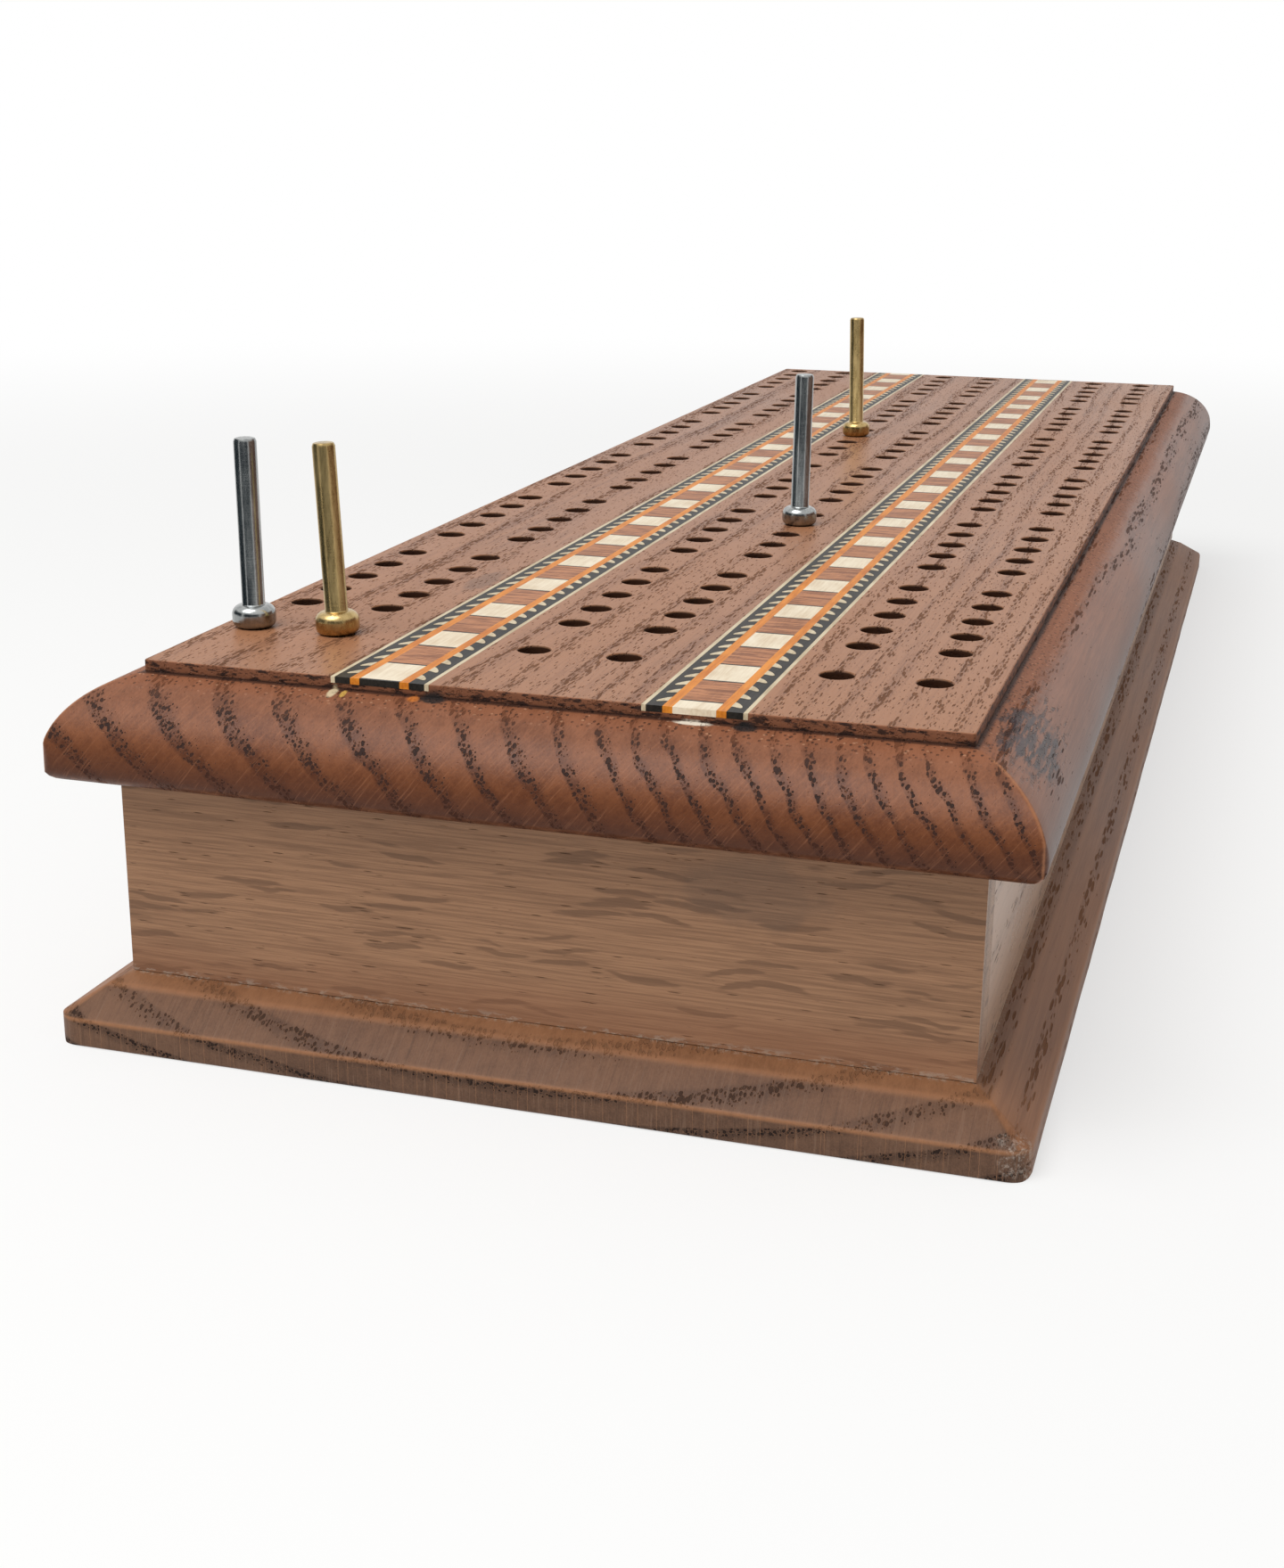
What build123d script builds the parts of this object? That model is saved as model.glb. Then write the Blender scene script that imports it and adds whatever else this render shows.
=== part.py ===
from build123d import *
from math import asin, degrees, sqrt
import os

# Cribbage box with a drawer.
# X is the width, Y the length and Z is up. The origin is in the middle of the underside.
# The near end, at -Y, is closed. The drawer comes out of the far end, at +Y.

# ---- driving dimensions, in mm ----

# carcase
carcase_width = 81.2
carcase_length = 262.4
carcase_height = 19.9
side_thickness = 6.0
end_thickness = 8.0
end_lap = 5.0  # how much of the end board shows on the side of the box

# base board
base_thickness = 6.2
base_projection = 5.6  # past the carcase, all round
base_edge_height = 2.8
ledge_width = 1.8
ledge_fall = 0.9
base_corner_radius = 2.4

# top board
top_thickness = 10.5
top_overhang = 5.3  # past the carcase, all round
field_step = 1.15
ovolo_reach = 7.3
ovolo_radius = 8.8
top_corner_radius = 1.3
top_arris_radius = 0.6

# peg holes
hole_diameter = 3.2
hole_depth = 8.0
hole_flats = 8  # the play holes are drawn with flats, the start holes are round
hole_pitch = 7.0
group_size = 5
group_count = 6
group_gap = 11.9  # from the last hole of a group to the first of the next
start_gap = 11.9  # from the start hole to the first hole
start_margin = 15.4  # from the near edge of the field to the start holes
pair_count = 3
pair_width = 9.0  # between the two rows of a pair
pair_spacing = 29.3
rows_off_centre = -1.2

# marquetry bands
band_spacing = 29.3
bands_off_centre = -0.25
inlay_depth = 0.6
cream_line_width = 0.4
rope_width = 1.5
orange_line_width = 0.9
block_width = 3.9
cream_block_length = 5.9
brown_block_length = 6.85
black_line_width = 0.35
right_first_block = 2.4  # the left band starts with a whole block behind a black line

# drawer
front_thickness = 6.0
front_gap = 0.3  # above and below the drawer front
front_stop_gap = 0.2  # between the drawer front and the ends of the side boards
drawer_side_gap = 0.4
drawer_lift = 0.2  # under the drawer sides
drawer_head_room = 0.5
drawer_back_room = 6.0
drawer_side_thickness = 4.0
drawer_back_thickness = 4.0
drawer_bottom_thickness = 2.0
drawer_bottom_height = 1.2  # lower edge of the drawer sides to the bottom board
groove_depth = 1.5
groove_clearance = 0.1
divider_thickness = 3.0
divider_drop = 2.0
divider_housing = 1.2
card_well_length = 91.0
thumb_radius = 9.0

# dovetails
tail_count = 2
tail_depth = 4.0
tail_width = 5.2
tail_flare = 0.7  # how much wider each side of a tail is at its end
tail_margin = 1.6  # half pin above and below

# drawer knob
plate_radius = 5.0
plate_thickness = 0.8
knob_radius = 3.4
knob_face_radius = 2.4
knob_neck_radius = 1.6
knob_neck_length = 1.2
knob_rim_length = 1.6
knob_projection = 5.2
knob_post_radius = 1.3
knob_post_length = 4.5

# pegs
peg_collar_radius = 2.15
peg_collar_height = 2.3
peg_collar_low_edge = 0.6
peg_collar_high_edge = 1.5
peg_seat_radius = 1.85
peg_rod_radius = 1.12
peg_height = 18.6
peg_spigot_clearance = 0.1
peg_spigot_length = 7.2

# ---- levels and outlines worked out from them ----

base_top = base_thickness
carcase_top = base_top + carcase_height
board_top = carcase_top + top_thickness

top_width = carcase_width + 2 * top_overhang
top_length = carcase_length + 2 * top_overhang
field_width = top_width - 2 * ovolo_reach
field_length = top_length - 2 * ovolo_reach
base_width = carcase_width + 2 * base_projection
base_length = carcase_length + 2 * base_projection

near_face = -carcase_length / 2
far_face = carcase_length / 2
side_near_end = near_face + end_lap
side_far_end = far_face - front_thickness - front_stop_gap
side_centre_x = (carcase_width - side_thickness) / 2
lap_depth = end_thickness - end_lap

drawer_width = carcase_width - 2 * side_thickness - 2 * drawer_side_gap
drawer_inner_width = drawer_width - 2 * drawer_side_thickness
drawer_under = base_top + drawer_lift
drawer_height = carcase_height - drawer_lift - drawer_head_room
drawer_top = drawer_under + drawer_height
front_inner_face = far_face - front_thickness
drawer_back_face = near_face + end_thickness + drawer_back_room
drawer_side_x = (drawer_width - drawer_side_thickness) / 2
bottom_under = drawer_under + drawer_bottom_height
bottom_top = bottom_under + drawer_bottom_thickness


# ---- the two mouldings, as half sections from the centre line outwards ----


def top_section(width):
    """Section of the top board: flat underside, rounded arris, ovolo, step and raised field."""
    edge = width / 2
    arc_size = 90 - degrees(asin(1 - ovolo_reach / ovolo_radius))
    ovolo_height = ovolo_radius * sqrt(1 - (1 - ovolo_reach / ovolo_radius) ** 2)
    land = top_thickness - field_step - ovolo_height
    with BuildSketch() as section:
        with BuildLine():
            Line((0, 0), (edge - top_arris_radius, 0))
            JernArc((edge - top_arris_radius, 0), (1, 0), top_arris_radius, 90)
            Line((edge, top_arris_radius), (edge, land))
            CenterArc((edge - ovolo_radius, land), ovolo_radius, 0, arc_size)
            Polyline(
                (edge - ovolo_reach, land + ovolo_height),
                (edge - ovolo_reach, top_thickness),
                (0, top_thickness),
                (0, 0),
            )
        make_face()
        mirror(about=Plane.YZ)
    return section.sketch


def base_section(width):
    """Section of the base board: upright edge, flat bevel and the ledge that falls outwards."""
    edge = width / 2
    carcase_edge = edge - base_projection
    with BuildSketch() as section:
        with BuildLine():
            Polyline(
                (0, 0),
                (edge, 0),
                (edge, base_edge_height),
                (carcase_edge + ledge_width, base_thickness - ledge_fall),
                (carcase_edge, base_thickness),
                (0, base_thickness),
                close=True,
            )
        make_face()
        mirror(about=Plane.YZ)
    return section.sketch


def moulded_board(section, width, length, height, corner_radius, level):
    """Board with one moulding all round: two crossing extrusions meet in mitred corners."""
    across = section(width)
    along = section(length)
    with BuildPart() as board:
        with BuildSketch(Plane.XY.offset(level)):
            RectangleRounded(width, length, corner_radius)
        extrude(amount=height)
        with BuildSketch(Plane((0, 0, level), x_dir=(1, 0, 0), z_dir=(0, -1, 0))):
            add(across)
        extrude(amount=length, both=True, mode=Mode.INTERSECT)
        with BuildSketch(Plane((0, 0, level), x_dir=(0, 1, 0), z_dir=(1, 0, 0))):
            add(along)
        extrude(amount=width, both=True, mode=Mode.INTERSECT)
    return board.part


# ---- base board ----

base_blank = moulded_board(
    base_section, base_width, base_length, base_thickness, base_corner_radius, 0
)

with BuildPart() as base_board:
    add(base_blank)

# ---- carcase: two side boards and the end board that laps over them ----


def make_side_board(side):
    """Board along one long side: from the end board's lap to just short of the drawer front."""
    with BuildPart() as board:
        with BuildSketch(Plane.XY.offset(base_top)):
            with Locations((side * side_centre_x, (side_near_end + side_far_end) / 2)):
                Rectangle(side_thickness, side_far_end - side_near_end)
        extrude(amount=carcase_height)
    return board


side_left = make_side_board(-1)
side_right = make_side_board(1)

with BuildPart() as end_board:
    with BuildSketch(Plane.XY.offset(base_top)):
        with Locations((0, near_face + end_thickness / 2)):
            Rectangle(carcase_width, end_thickness)
        with Locations(*[(side * side_centre_x, side_near_end + lap_depth / 2) for side in (-1, 1)]):
            Rectangle(side_thickness, lap_depth, mode=Mode.SUBTRACT)
    extrude(amount=carcase_height)

# ---- marquetry bands, let into the field ----

strip_widths = [
    cream_line_width,
    rope_width,
    orange_line_width,
    block_width,
    orange_line_width,
    rope_width,
    cream_line_width,
]
band_width = sum(strip_widths)
strip_edges = [sum(strip_widths[:count]) - band_width / 2 for count in range(len(strip_widths))]
strip_centres = [edge + width / 2 for edge, width in zip(strip_edges, strip_widths)]
band_centres = {
    "left": bands_off_centre - band_spacing / 2,
    "right": bands_off_centre + band_spacing / 2,
}
first_pieces = {"left": ("black", black_line_width), "right": ("cream", right_first_block)}
band_floor = board_top - inlay_depth


def block_spans(first_colour, first_length):
    """Stretches of the middle strip from the near edge: cream, black, brown, black, and so on."""
    lengths = {
        "black": black_line_width,
        "cream": cream_block_length,
        "brown": brown_block_length,
    }
    order = ["black", "cream", "black", "brown"]
    spans = {colour: [] for colour in lengths}
    far_edge = field_length / 2
    start = -far_edge
    length = first_length
    step = order.index(first_colour)
    while start < far_edge:
        end = min(start + length, far_edge)
        spans[order[step]].append((start, end))
        start = end
        step = (step + 1) % len(order)
        length = lengths[order[step]]
    return spans


def make_strips(centres, width):
    """Lines that run the whole length of the field."""
    with BuildPart() as strips:
        with BuildSketch(Plane.XY.offset(band_floor)):
            with Locations(*[(x, 0) for x in centres]):
                Rectangle(width, field_length)
        extrude(amount=inlay_depth)
    return strips


def make_blocks(centre, spans):
    """Pieces of the middle strip, one for each span."""
    with BuildPart() as blocks:
        with BuildSketch(Plane.XY.offset(band_floor)):
            for start, end in spans:
                with Locations((centre, (start + end) / 2)):
                    Rectangle(block_width, end - start)
        extrude(amount=inlay_depth)
    return blocks


inlays = {}
for side, centre in band_centres.items():
    lines = [centre + offset for offset in strip_centres]
    spans = block_spans(*first_pieces[side])
    inlays[f"band_{side}_cream_lines"] = make_strips([lines[0], lines[6]], cream_line_width)
    inlays[f"band_{side}_rope_strips"] = make_strips([lines[1], lines[5]], rope_width)
    inlays[f"band_{side}_orange_lines"] = make_strips([lines[2], lines[4]], orange_line_width)
    inlays[f"band_{side}_cream_blocks"] = make_blocks(centre, spans["cream"])
    inlays[f"band_{side}_brown_blocks"] = make_blocks(centre, spans["brown"])
    inlays[f"band_{side}_black_lines"] = make_blocks(centre, spans["black"])

# ---- top board ----

row_centres = [
    rows_off_centre + (pair - (pair_count - 1) / 2) * pair_spacing + side * pair_width / 2
    for pair in range(pair_count)
    for side in (-1, 1)
]
start_line = -field_length / 2 + start_margin
group_pitch = (group_size - 1) * hole_pitch + group_gap
play_lines = [
    start_line + start_gap + group * group_pitch + hole * hole_pitch
    for group in range(group_count)
    for hole in range(group_size)
]
start_holes = [(x, start_line) for x in row_centres]
play_holes = [(x, y) for x in row_centres for y in play_lines]

top_blank = moulded_board(
    top_section, top_width, top_length, top_thickness, top_corner_radius, carcase_top
)

with BuildPart() as top_board:
    add(top_blank)
    with BuildSketch(Plane.XY.offset(band_floor)):
        with Locations(*[(x, 0) for x in band_centres.values()]):
            Rectangle(band_width, field_length)
    extrude(amount=inlay_depth, mode=Mode.SUBTRACT)
    with BuildSketch(Plane.XY.offset(board_top)):
        with Locations(*play_holes):
            RegularPolygon(hole_diameter / 2, hole_flats, major_radius=False)
    extrude(amount=-hole_depth, mode=Mode.SUBTRACT)
    with Locations(*[(x, y, board_top) for x, y in start_holes]):
        Hole(hole_diameter / 2, depth=hole_depth)

# ---- drawer ----


def shape_tails(side, shoulder, direction, low, high, mode):
    """Dovetails as thick as a drawer side, added to it or cut from the board it joins."""
    inner = side * drawer_inner_width / 2
    pitch = (high - low - 2 * tail_margin - tail_width) / (tail_count - 1)
    root = tail_width / 2 - tail_flare
    with BuildSketch(Plane((inner, 0, 0), x_dir=(0, 1, 0), z_dir=(1, 0, 0))) as tails:
        for tail in range(tail_count):
            middle = low + tail_margin + tail_width / 2 + tail * pitch
            with BuildLine():
                Polyline(
                    (shoulder, middle - root),
                    (shoulder + direction * tail_depth, middle - tail_width / 2),
                    (shoulder + direction * tail_depth, middle + tail_width / 2),
                    (shoulder, middle + root),
                    close=True,
                )
            make_face()
    extrude(tails.sketch, amount=side * drawer_side_thickness, mode=mode)


side_front_shoulder = front_inner_face
tail_end = front_inner_face + tail_depth
side_back_shoulder = drawer_back_face + drawer_back_thickness
back_under = bottom_top
divider_front_y = front_inner_face - card_well_length - divider_thickness / 2
divider_back_y = divider_front_y - card_well_length - divider_thickness
divider_height = drawer_top - divider_drop - bottom_top


def make_drawer_side(side):
    """Drawer side with dovetails at both ends, a groove for the bottom and two housings."""
    with BuildPart() as board:
        with BuildSketch(Plane.XY.offset(drawer_under)):
            middle = (side_front_shoulder + side_back_shoulder) / 2
            with Locations((side * drawer_side_x, middle)):
                Rectangle(drawer_side_thickness, side_front_shoulder - side_back_shoulder)
        extrude(amount=drawer_height)
        shape_tails(side, side_front_shoulder, 1, drawer_under, drawer_top, Mode.ADD)
        shape_tails(side, side_back_shoulder, -1, back_under, drawer_top, Mode.ADD)
        inner = side * drawer_inner_width / 2
        with BuildSketch(Plane.XZ.offset(-tail_end)):
            with Locations((inner + side * groove_depth / 2, (bottom_under + bottom_top) / 2)):
                Rectangle(groove_depth, drawer_bottom_thickness)
        extrude(amount=tail_end - drawer_back_face, mode=Mode.SUBTRACT)
        with BuildSketch(Plane.XY.offset(bottom_top)):
            with Locations(
                *[(inner + side * divider_housing / 2, y) for y in (divider_front_y, divider_back_y)]
            ):
                Rectangle(divider_housing, divider_thickness)
        extrude(amount=divider_height, mode=Mode.SUBTRACT)
    return board


drawer_side_left = make_drawer_side(-1)
drawer_side_right = make_drawer_side(1)

with BuildPart() as drawer_front:
    with BuildSketch(Plane.XY.offset(base_top + front_gap)):
        with Locations((0, front_inner_face + front_thickness / 2)):
            Rectangle(carcase_width, front_thickness)
    extrude(amount=carcase_height - 2 * front_gap)
    for side in (-1, 1):
        shape_tails(side, side_front_shoulder, 1, drawer_under, drawer_top, Mode.SUBTRACT)
    with BuildSketch(Plane.XZ.offset(-front_inner_face)):
        with Locations((0, (bottom_under + bottom_top) / 2)):
            Rectangle(drawer_inner_width + 2 * groove_depth, drawer_bottom_thickness)
    extrude(amount=-groove_depth, mode=Mode.SUBTRACT)
    with BuildSketch(Plane.XZ.offset(-far_face)):
        with Locations((0, (base_top + carcase_top) / 2)):
            Circle(knob_post_radius)
    extrude(amount=knob_post_length, mode=Mode.SUBTRACT)

with BuildPart() as drawer_back:
    with BuildSketch(Plane.XY.offset(back_under)):
        with Locations((0, drawer_back_face + drawer_back_thickness / 2)):
            Rectangle(drawer_width, drawer_back_thickness)
    extrude(amount=drawer_top - back_under)
    for side in (-1, 1):
        shape_tails(side, side_back_shoulder, -1, back_under, drawer_top, Mode.SUBTRACT)

with BuildPart() as drawer_bottom:
    bottom_front = front_inner_face + groove_depth - groove_clearance
    with BuildSketch(Plane.XY.offset(bottom_under)):
        with Locations((0, (bottom_front + drawer_back_face) / 2)):
            Rectangle(
                drawer_inner_width + 2 * (groove_depth - groove_clearance),
                bottom_front - drawer_back_face,
            )
    extrude(amount=drawer_bottom_thickness)


def make_divider(y):
    """Cross board between two wells, with a thumb notch to lift the cards by."""
    with BuildPart() as divider:
        with BuildSketch(Plane.XZ.offset(-y - divider_thickness / 2)):
            with Locations((0, bottom_top + divider_height / 2)):
                Rectangle(drawer_inner_width + 2 * divider_housing, divider_height)
            with Locations((0, bottom_top + divider_height)):
                Circle(thumb_radius, mode=Mode.SUBTRACT)
        extrude(amount=divider_thickness)
    return divider


divider_front = make_divider(divider_front_y)
divider_back = make_divider(divider_back_y)

# ---- drawer knob and its plate, turned about the line through the drawer front ----

knob_centre = (0, far_face, (base_top + carcase_top) / 2)
knob_face = Plane(knob_centre, x_dir=(1, 0, 0), z_dir=(0, 1, 0))
knob_section = Plane(knob_centre, x_dir=(1, 0, 0), z_dir=(0, 0, 1))
knob_axis = Axis(knob_centre, (0, 1, 0))

with BuildPart() as knob_plate:
    with BuildSketch(knob_face):
        Circle(plate_radius)
        Circle(knob_post_radius, mode=Mode.SUBTRACT)
    extrude(amount=plate_thickness)

neck_end = plate_thickness + knob_neck_length

with BuildPart() as drawer_knob:
    with BuildSketch(knob_section):
        with BuildLine():
            Polyline(
                (0, -knob_post_length),
                (knob_post_radius, -knob_post_length),
                (knob_post_radius, plate_thickness),
                (knob_neck_radius, plate_thickness),
                (knob_neck_radius, neck_end),
                (knob_radius, neck_end),
                (knob_radius, neck_end + knob_rim_length),
                (knob_face_radius, knob_projection),
                (0, knob_projection),
                close=True,
            )
        make_face()
    revolve(axis=knob_axis)

# ---- pegs: rod, bevelled collar that sits on the board, spigot in the hole ----


def make_peg(place):
    """One peg, standing in the hole at this place."""
    x, y = place
    spigot_radius = hole_diameter / 2 - peg_spigot_clearance
    with BuildPart() as peg:
        with BuildSketch(Plane((x, y, board_top), x_dir=(1, 0, 0), z_dir=(0, -1, 0))):
            with BuildLine():
                Polyline(
                    (0, -peg_spigot_length),
                    (spigot_radius, -peg_spigot_length),
                    (spigot_radius, 0),
                    (peg_seat_radius, 0),
                    (peg_collar_radius, peg_collar_low_edge),
                    (peg_collar_radius, peg_collar_high_edge),
                    (peg_rod_radius, peg_collar_height),
                    (peg_rod_radius, peg_height),
                    (0, peg_height),
                    close=True,
                )
            make_face()
        revolve(axis=Axis((x, y, 0), (0, 0, 1)))
    return peg


peg_places = {
    "peg_steel_start": start_holes[0],
    "peg_brass_start": start_holes[1],
    "peg_steel_play": (row_centres[3], play_lines[8]),
    "peg_brass_play": (row_centres[2], play_lines[18]),
}

# ---- one file for each piece ----

pieces = {
    "base_board": base_board,
    "side_left": side_left,
    "side_right": side_right,
    "end_board": end_board,
    "top_board": top_board,
    "drawer_front": drawer_front,
    "drawer_side_left": drawer_side_left,
    "drawer_side_right": drawer_side_right,
    "drawer_back": drawer_back,
    "drawer_bottom": drawer_bottom,
    "drawer_divider_front": divider_front,
    "drawer_divider_back": divider_back,
    "knob_plate": knob_plate,
    "drawer_knob": drawer_knob,
}
pieces.update(inlays)
for name, place in peg_places.items():
    pieces[name] = make_peg(place)

os.makedirs("parts", exist_ok=True)
for name, piece in pieces.items():
    piece.part.label = name
    export_step(piece.part, f"parts/{name}.step")
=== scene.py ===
from math import asin, cos, degrees, pi, radians, sin, sqrt
import random

import bmesh
import bpy
from mathutils import Matrix, Vector, noise


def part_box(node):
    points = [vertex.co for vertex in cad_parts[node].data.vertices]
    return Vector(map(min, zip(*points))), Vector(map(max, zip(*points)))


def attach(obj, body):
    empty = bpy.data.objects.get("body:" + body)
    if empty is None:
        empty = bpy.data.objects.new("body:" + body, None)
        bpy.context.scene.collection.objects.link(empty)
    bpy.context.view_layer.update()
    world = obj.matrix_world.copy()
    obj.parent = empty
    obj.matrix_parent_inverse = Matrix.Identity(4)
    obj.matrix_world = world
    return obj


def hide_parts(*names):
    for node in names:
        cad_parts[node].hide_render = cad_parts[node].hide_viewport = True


# The cribbage box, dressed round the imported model. Blender's units are metres, in the model's own
# frame: X is the width, Y the length with the closed end at -Y, Z is up.
# Sizes here are in millimetres unless a name says otherwise, and MM turns them into metres.

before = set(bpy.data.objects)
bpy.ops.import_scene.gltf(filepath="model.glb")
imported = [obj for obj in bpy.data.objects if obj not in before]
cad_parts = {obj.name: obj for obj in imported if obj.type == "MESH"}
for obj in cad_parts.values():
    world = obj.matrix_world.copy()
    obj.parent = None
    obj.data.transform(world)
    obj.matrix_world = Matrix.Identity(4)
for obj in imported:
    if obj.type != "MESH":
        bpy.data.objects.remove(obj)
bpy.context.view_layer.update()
MM = 0.001
random.seed(7)

# ---- what the frame says, in mm ----


def box_mm(node):
    """Lowest and highest corner of a CAD node, in mm."""
    low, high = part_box(node)
    return low / MM, high / MM


def middle_mm(node):
    """Middle of a CAD node's box, in mm."""
    low, high = box_mm(node)
    return (low + high) / 2


top_low, top_high = box_mm("top_board")
base_low, base_high = box_mm("base_board")
end_low, end_high = box_mm("end_board")
board_top = top_high.z

# ---- sizes of the dressed pieces, in mm ----

# top board
OVOLO_REACH = 7.3
OVOLO_RADIUS = 8.8
FIELD_STEP = 1.15
TOP_ARRIS = 1.8
TOP_CORNER = 1.3
MITRE_SOFTNESS = 0.35
LAND_RISE = 0.1  # upright part between the lowest arris and the ovolo
FIELD_ROUND = 0.14  # rounded upper edge of the field
FIELD_MARGIN = 0.16  # strip along that edge which has the look of the moulding
UNDERSIDE_INSET = 9.0
field_half_width = top_high.x - OVOLO_REACH
field_half_length = top_high.y - OVOLO_REACH

# base board
BASE_EDGE_HEIGHT = 2.8
LEDGE_WIDTH = 1.8
LEDGE_FALL = 0.9
BASE_CORNER = 2.4
BASE_MITRE_SOFTNESS = 0.5
BASE_ARRIS = 0.35

# unevenness of both moulded boards
WOBBLE = 0.10
WOBBLE_LENGTH = 17.0
WOBBLE_RISE = 9.0
CORNER_SHRINK = 3.4  # how much faster than the inset a corner's round gets smaller
SIDE_STEP = 2.5  # distance between the points along a side
CORNER_STEPS = 6
EDGE_ROUND = 0.10  # slight round on the edges of the boards that stay as they are in the model

# peg holes
HOLE_RADIUS = 1.6
HOLE_DEPTH = 8.0
HOLE_PITCH = 7.0
GROUP_SIZE = 5
GROUP_COUNT = 6
GROUP_GAP = 11.9
PAIR_SPACING = 29.3

# marquetry
TICK_PITCH = 2.93
TICK_REACH = 1.0
TICK_PROUD = 0.02
TICK_SUNK = 0.2
TICK_JITTER = 0.07
FIRST_TICK = 0.8  # as a share of the pitch, from the near end
LAST_TICK = 1.0  # clear space at the far end

# pegs
PEG_SPIGOT = 7.2
PEG_HEIGHT = 18.6
PEG_BALL_RADIUS = 2.15
PEG_BALL_HEIGHT = 2.3
PEG_ROD_RADIUS = 1.12
PEG_SPIGOT_RADIUS = 1.5
PEG_LEANS = {  # degrees towards +X and +Y, as the pegs stand loosely in their holes
    "peg_steel_start": (-0.7, 0.3),
    "peg_brass_start": (-2.9, 0.2),
    "peg_steel_play": (0.4, 0.0),
    "peg_brass_play": (-1.8, 0.4),
}

# ---- camera ----

CAMERA_PLACE = Vector((0.0609, -0.2980, 0.0847))  # metres
CAMERA_YAW = -0.294  # radians, as the next two
CAMERA_PITCH = 0.304
CAMERA_ROLL = 0.010
CAMERA_LENS = 48.57  # mm, as the sensor
SENSOR_SIZE = 36.0


def make_camera():
    """Camera at the photograph's viewing angle."""
    yaw, pitch, roll = CAMERA_YAW, CAMERA_PITCH, CAMERA_ROLL
    forward = Vector((sin(yaw) * cos(pitch), cos(yaw) * cos(pitch), -sin(pitch)))
    level_right = Vector((cos(yaw), -sin(yaw), 0))
    level_up = level_right.cross(forward)
    right = cos(roll) * level_right + sin(roll) * level_up
    up = cos(roll) * level_up - sin(roll) * level_right
    data = bpy.data.cameras.new("camera")
    data.sensor_fit = "AUTO"
    data.sensor_width = SENSOR_SIZE
    data.lens = CAMERA_LENS
    data.clip_start = 0.01
    data.clip_end = 20.0
    camera = bpy.data.objects.new("camera", data)
    bpy.context.scene.collection.objects.link(camera)
    turn = Matrix((right, up, -forward)).transposed().to_4x4()
    camera.matrix_world = Matrix.Translation(CAMERA_PLACE) @ turn
    bpy.context.scene.camera = camera


# ---- nodes: short calls for the kinds used here ----


class Value:
    """A number, vector or colour that nodes work out, with the usual signs of arithmetic."""

    def __init__(self, nodes, socket):
        self.nodes = nodes
        self.socket = socket

    def __add__(self, other):
        return self.nodes.math("ADD", self, other)

    def __radd__(self, other):
        return self.nodes.math("ADD", other, self)

    def __sub__(self, other):
        return self.nodes.math("SUBTRACT", self, other)

    def __rsub__(self, other):
        return self.nodes.math("SUBTRACT", other, self)

    def __mul__(self, other):
        return self.nodes.math("MULTIPLY", self, other)

    def __truediv__(self, number):
        return self.nodes.math("MULTIPLY", self, 1 / number)

    def __abs__(self):
        return self.nodes.math("ABSOLUTE", self)


class Nodes:
    """The nodes of a material or a world, emptied first."""

    def __init__(self, owner, output_kind="ShaderNodeOutputMaterial"):
        owner.use_nodes = True
        self.owner = owner
        self.tree = owner.node_tree
        self.tree.nodes.clear()
        self.output = self.node(output_kind)

    def node(self, kind, **settings):
        """A new node with these settings."""
        made = self.tree.nodes.new(kind)
        for setting, value in settings.items():
            setattr(made, setting, value)
        return made

    def put(self, socket, value):
        """Links a socket to this value, or sets it to this number or colour."""
        if isinstance(value, Value):
            self.tree.links.new(value.socket, socket)
        elif isinstance(value, tuple) and len(value) == 3 and len(socket.default_value) == 4:
            socket.default_value = (*value, 1.0)
        else:
            socket.default_value = value

    def filled(self, made, inputs, output=0):
        """Sets the first inputs of a new node to these, and gives its output."""
        for socket, value in zip(made.inputs, inputs):
            self.put(socket, value)
        return Value(self, made.outputs[output])

    def show(self, surface):
        """Makes this shader node the one that is seen."""
        self.tree.links.new(surface.outputs[0], self.output.inputs["Surface"])

    def math(self, operation, *numbers):
        """A Math node."""
        return self.filled(self.node("ShaderNodeMath", operation=operation), numbers)

    def vector_math(self, operation, *vectors):
        """A Vector Math node."""
        output = "Value" if operation == "LENGTH" else "Vector"
        made = self.node("ShaderNodeVectorMath", operation=operation)
        return self.filled(made, vectors, output)

    def vector(self, x, y, z):
        """A vector of three numbers or values."""
        return self.filled(self.node("ShaderNodeCombineXYZ"), (x, y, z))

    def smooth(self, value, low, high, start=0.0, end=1.0):
        """The start at low, the end at high, with a soft turn at both."""
        made = self.node("ShaderNodeMapRange", interpolation_type="SMOOTHSTEP")
        return self.filled(made, (value, low, high, start, end))

    def light(self, kind, colour, strength=1.0):
        """A shader node that gives light: an emission or a background."""
        made = self.node(kind)
        self.put(made.inputs["Color"], colour)
        made.inputs["Strength"].default_value = strength
        return made

    def show_mix(self, share, first, second):
        """Makes a mix of two shader nodes the one that is seen."""
        mixer = self.node("ShaderNodeMixShader")
        self.filled(mixer, (share, Value(self, first.outputs[0]), Value(self, second.outputs[0])))
        self.show(mixer)

    def seen_directly(self):
        """1 for camera, glossy and transmission rays, and 0 for the rest."""
        path = self.node("ShaderNodeLightPath").outputs
        share = Value(self, path["Is Camera Ray"])
        for other in ("Is Glossy Ray", "Is Transmission Ray"):
            share = self.math("MAXIMUM", share, Value(self, path[other]))
        return share


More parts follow.
